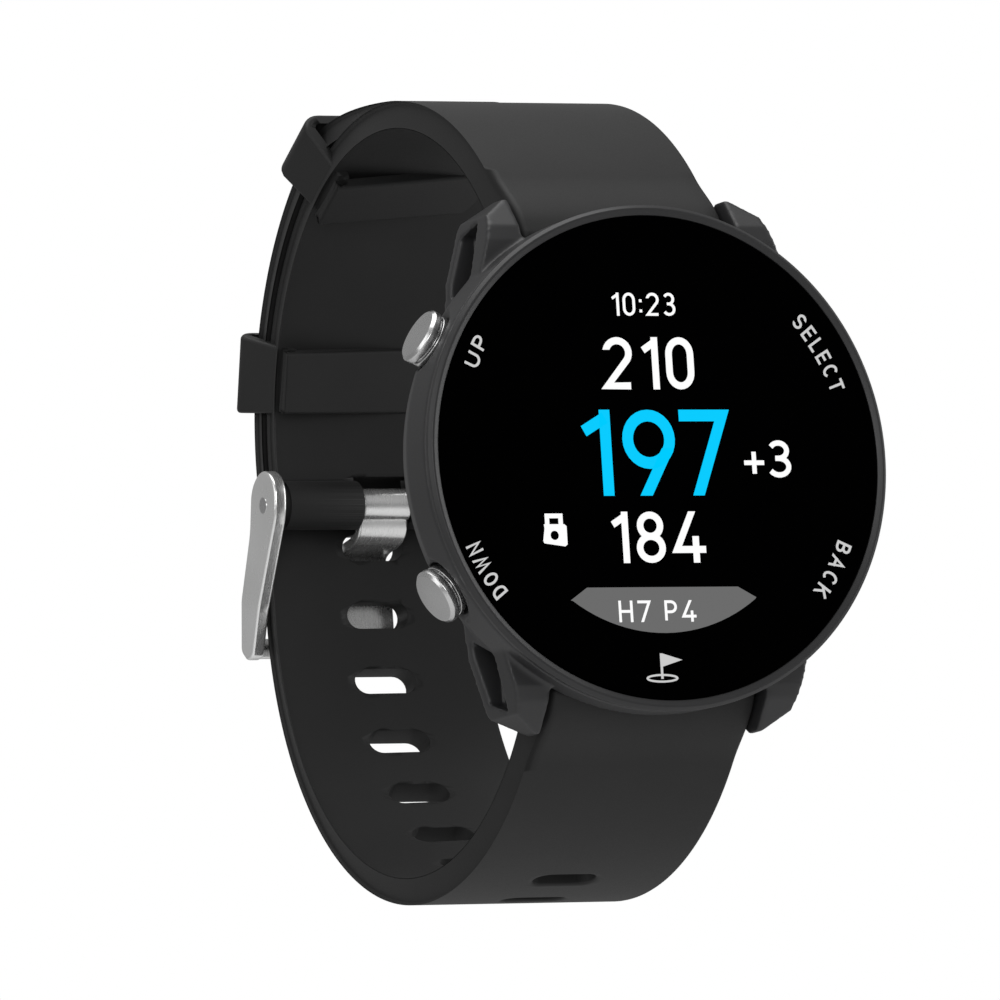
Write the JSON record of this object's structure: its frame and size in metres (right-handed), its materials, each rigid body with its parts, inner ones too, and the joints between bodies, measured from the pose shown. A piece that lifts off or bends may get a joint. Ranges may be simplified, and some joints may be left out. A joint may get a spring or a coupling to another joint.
{
  "type": "golf gps watch",
  "caption": "Round sports watch buckled into a loop: flat back, glass face, side push buttons, slotted two-piece strap with keepers and a pin buckle.",
  "frame": {"origin": "centre of the flat outer face of the case back", "axes": "+Y out of the case back to the wrist, so the face looks along -Y; +Z to 12 o'clock; +X to 3 o'clock"},
  "size_m": [0.046, 0.0663, 0.0757],
  "materials": {
    "case_plastic": "fine satin moulded plastic",
    "bezel_metal": "satin dark grey coating",
    "lens_glass": "gloss",
    "display": "black, under glass",
    "strap_silicone": "matte black silicone",
    "keeper_silicone": "matte black silicone",
    "brushed_metal": "brushed stainless steel",
    "button_metal": "brushed face and polished edge",
    "pin_steel": "plain steel",
    "spring_steel": "spring steel wire",
    "gasket_rubber": "matte",
    "circuit_board": "solder mask",
    "chip_black": "matte",
    "shield_metal": "tinned sheet",
    "antenna_ceramic": "ceramic",
    "flex_film": "amber film",
    "battery_pouch": "pouch foil",
    "foam": "closed-cell foam",
    "contact_gold": "gold plated"
  },
  "bodies": {
    "watch": {"mid_case": "case_plastic", "case_back": "case_plastic", "contact_block": "case_plastic", "display_frame": "case_plastic", "bezel": "bezel_metal", "lens": "lens_glass", "display_panel": "display", "upper_strap": "strap_silicone", "lower_strap": "strap_silicone", "upper_spring_bar": "pin_steel", "lower_spring_bar": "pin_steel", "case_back_screws": "pin_steel", "up_spring": "spring_steel", "down_spring": "spring_steel", "select_spring": "spring_steel", "back_spring": "spring_steel", "upper_bar_spring": "spring_steel", "lower_bar_spring": "spring_steel", "lens_gasket": "gasket_rubber", "back_gasket": "gasket_rubber", "button_seals": "gasket_rubber", "main_board": "circuit_board", "board_chips": "chip_black", "side_switches": "chip_black", "shield_can": "shield_metal", "gps_antenna": "antenna_ceramic", "display_flex": "flex_film", "battery_lead": "flex_film", "battery": "battery_pouch", "battery_foam": "foam", "charging_contacts": "contact_gold"},
    "up_button": {"up_button": "button_metal", "up_clip": "pin_steel"},
    "down_button": {"down_button": "button_metal", "down_clip": "pin_steel"},
    "select_button": {"select_button": "button_metal", "select_clip": "pin_steel"},
    "back_button": {"back_button": "button_metal", "back_clip": "pin_steel"},
    "upper_release_pin": {"upper_release_pin": "pin_steel"},
    "lower_release_pin": {"lower_release_pin": "pin_steel"},
    "free_keeper": {"free_keeper": "keeper_silicone"},
    "top_keeper": {"top_keeper": "keeper_silicone"},
    "buckle_frame": {"buckle_frame": "brushed_metal", "buckle_bar": "pin_steel"},
    "buckle_tongue": {"buckle_tongue": "brushed_metal"}
  },
  "joints": [
    {"name": "up_button_press", "type": "slide", "parent": "watch", "child": "up_button", "axis": [0.866, 0, -0.5], "range_m": [0, 0.0007], "stiffness_N_per_m": 1500, "springref_m": -0.0004, "deforming": ["up_spring"]},
    {"name": "down_button_press", "type": "slide", "parent": "watch", "child": "down_button", "axis": [0.866, 0, 0.5], "range_m": [0, 0.0007], "stiffness_N_per_m": 1500, "springref_m": -0.0004, "deforming": ["down_spring"]},
    {"name": "select_button_press", "type": "slide", "parent": "watch", "child": "select_button", "axis": [-0.866, 0, -0.5], "range_m": [0, 0.0007], "stiffness_N_per_m": 1500, "springref_m": -0.0004, "deforming": ["select_spring"]},
    {"name": "back_button_press", "type": "slide", "parent": "watch", "child": "back_button", "axis": [-0.866, 0, 0.5], "range_m": [0, 0.0007], "stiffness_N_per_m": 1500, "springref_m": -0.0004, "deforming": ["back_spring"]},
    {"name": "upper_pin_release", "type": "slide", "parent": "watch", "child": "upper_release_pin", "axis": [1, 0, 0], "range_m": [0, 0.0012], "stiffness_N_per_m": 400, "springref_m": -0.002, "deforming": ["upper_bar_spring"]},
    {"name": "lower_pin_release", "type": "slide", "parent": "watch", "child": "lower_release_pin", "axis": [1, 0, 0], "range_m": [0, 0.0012], "stiffness_N_per_m": 400, "springref_m": -0.002, "deforming": ["lower_bar_spring"]},
    {"name": "free_keeper_slide", "type": "hinge", "parent": "watch", "child": "free_keeper", "pos_m": [0, 0.0213, 0.0082], "axis": [1, 0, 0], "range_deg": [-4, 14]},
    {"name": "top_keeper_slide", "type": "hinge", "parent": "watch", "child": "top_keeper", "pos_m": [0, 0.0213, 0.0082], "axis": [1, 0, 0], "range_deg": [-16, 20]},
    {"name": "buckle_swing", "type": "hinge", "parent": "watch", "child": "buckle_frame", "pos_m": [0, 0.0478, 0.00356], "axis": [1, 0, 0], "range_deg": [0, 85]},
    {"name": "tongue_lift", "type": "hinge", "parent": "watch", "child": "buckle_tongue", "pos_m": [0, 0.0478, 0.00356], "axis": [1, 0, 0], "range_deg": [0, 4]}
  ]
}
